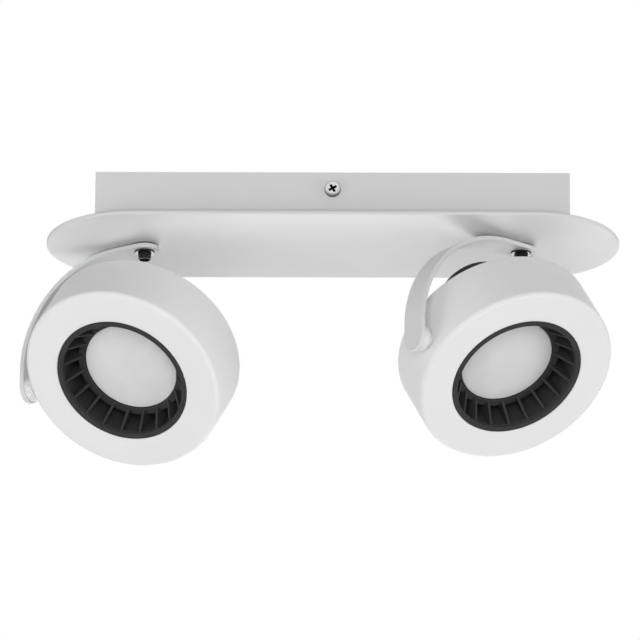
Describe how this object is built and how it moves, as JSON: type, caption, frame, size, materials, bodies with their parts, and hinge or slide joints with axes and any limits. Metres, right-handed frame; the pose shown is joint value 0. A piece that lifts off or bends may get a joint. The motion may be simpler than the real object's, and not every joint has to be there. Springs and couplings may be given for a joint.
{
  "type": "pivoting spotlight wall light",
  "caption": "Long box with a round-ended plate and round drum spotlight heads, each on a C-shaped arm that swivels and tilts.",
  "frame": {"origin": "centre of the mounting face of the bracket, where it meets the ceiling or wall", "axes": "+X along the plate, +Z into the ceiling or wall, -Y the side seen first; the heads hang towards -Z"},
  "size_m": [0.3036, 0.1141, 0.1307],
  "materials": {
    "white_steel": "matte white powder coat",
    "white_drum": "matte white powder coat on aluminium",
    "white_bush": "matte white powder coat",
    "black_plastic": "matte black",
    "black_aluminium": "black anodised, matte",
    "frosted_plastic": "frosted",
    "white_plastic": "matte",
    "board_white": "white solder resist",
    "led_yellow": "phosphor coat",
    "bright_steel": "nickel plated",
    "zinc_steel": "zinc plated",
    "black_steel": "blackened",
    "black_nylon": "matte",
    "black_rubber": "matte",
    "brass": "plain",
    "lead_sheath": "matte"
  },
  "bodies": {
    "base": {"box_cover": "white_steel", "face_plate": "white_steel", "plate_studs": "zinc_steel", "plate_nuts": "zinc_steel", "stop_pins": "zinc_steel", "ceiling_bracket": "zinc_steel", "side_screws": "bright_steel", "cable_grommet": "black_rubber", "earth_screw": "brass", "earth_washer": "brass", "driver": "white_plastic", "driver_screws": "zinc_steel", "terminal_block": "white_plastic", "terminal_screws": "brass", "mains_leads": "lead_sheath", "output_leads": "lead_sheath"},
    "left_yoke": {"left_arm": "white_steel", "left_swivel_stud": "zinc_steel", "left_swivel_spacer": "black_nylon", "left_swivel_washer": "bright_steel", "left_outlet_nut": "black_steel", "left_swivel_spring_washer": "zinc_steel", "left_stop_washer": "zinc_steel", "left_swivel_nut": "zinc_steel", "left_pivot_stud": "white_steel", "left_pivot_bush": "white_bush", "left_pivot_spacer": "white_plastic", "left_pivot_washer": "zinc_steel", "left_pivot_nut": "zinc_steel"},
    "left_head": {"left_drum_shell": "white_drum", "left_vane_ring": "black_plastic", "left_diffuser": "frosted_plastic", "left_reflector": "white_plastic", "left_led_board": "board_white", "left_led_source": "led_yellow", "left_heat_sink": "black_aluminium", "left_lead_grommet": "black_rubber", "left_head_screws": "zinc_steel"},
    "right_yoke": {"right_arm": "white_steel", "right_swivel_stud": "zinc_steel", "right_swivel_spacer": "black_nylon", "right_swivel_washer": "bright_steel", "right_outlet_nut": "black_steel", "right_swivel_spring_washer": "zinc_steel", "right_stop_washer": "zinc_steel", "right_swivel_nut": "zinc_steel", "right_pivot_stud": "white_steel", "right_pivot_bush": "white_bush", "right_pivot_spacer": "white_plastic", "right_pivot_washer": "zinc_steel", "right_pivot_nut": "zinc_steel"},
    "right_head": {"right_drum_shell": "white_drum", "right_vane_ring": "black_plastic", "right_diffuser": "frosted_plastic", "right_reflector": "white_plastic", "right_led_board": "board_white", "right_led_source": "led_yellow", "right_heat_sink": "black_aluminium", "right_lead_grommet": "black_rubber", "right_head_screws": "zinc_steel"}
  },
  "joints": [
    {"name": "left_swivel", "type": "hinge", "parent": "base", "child": "left_yoke", "pos_m": [-0.09525, 0, -0.025], "axis": [0, 0, 1], "range_deg": [-129.5, 190.5]},
    {"name": "left_tilt", "type": "hinge", "parent": "left_yoke", "child": "left_head", "pos_m": [-0.10232, 0.00416, -0.09001], "axis": [0.8616, -0.5075, 0], "range_deg": [-50.6, 129.4]},
    {"name": "right_swivel", "type": "hinge", "parent": "base", "child": "right_yoke", "pos_m": [0.09525, 0, -0.025], "axis": [0, 0, 1], "range_deg": [-198, 122]},
    {"name": "right_tilt", "type": "hinge", "parent": "right_yoke", "child": "right_head", "pos_m": [0.08879, -0.00505, -0.09001], "axis": [0.788, 0.6157, 0], "range_deg": [-54.6, 125.4]}
  ]
}
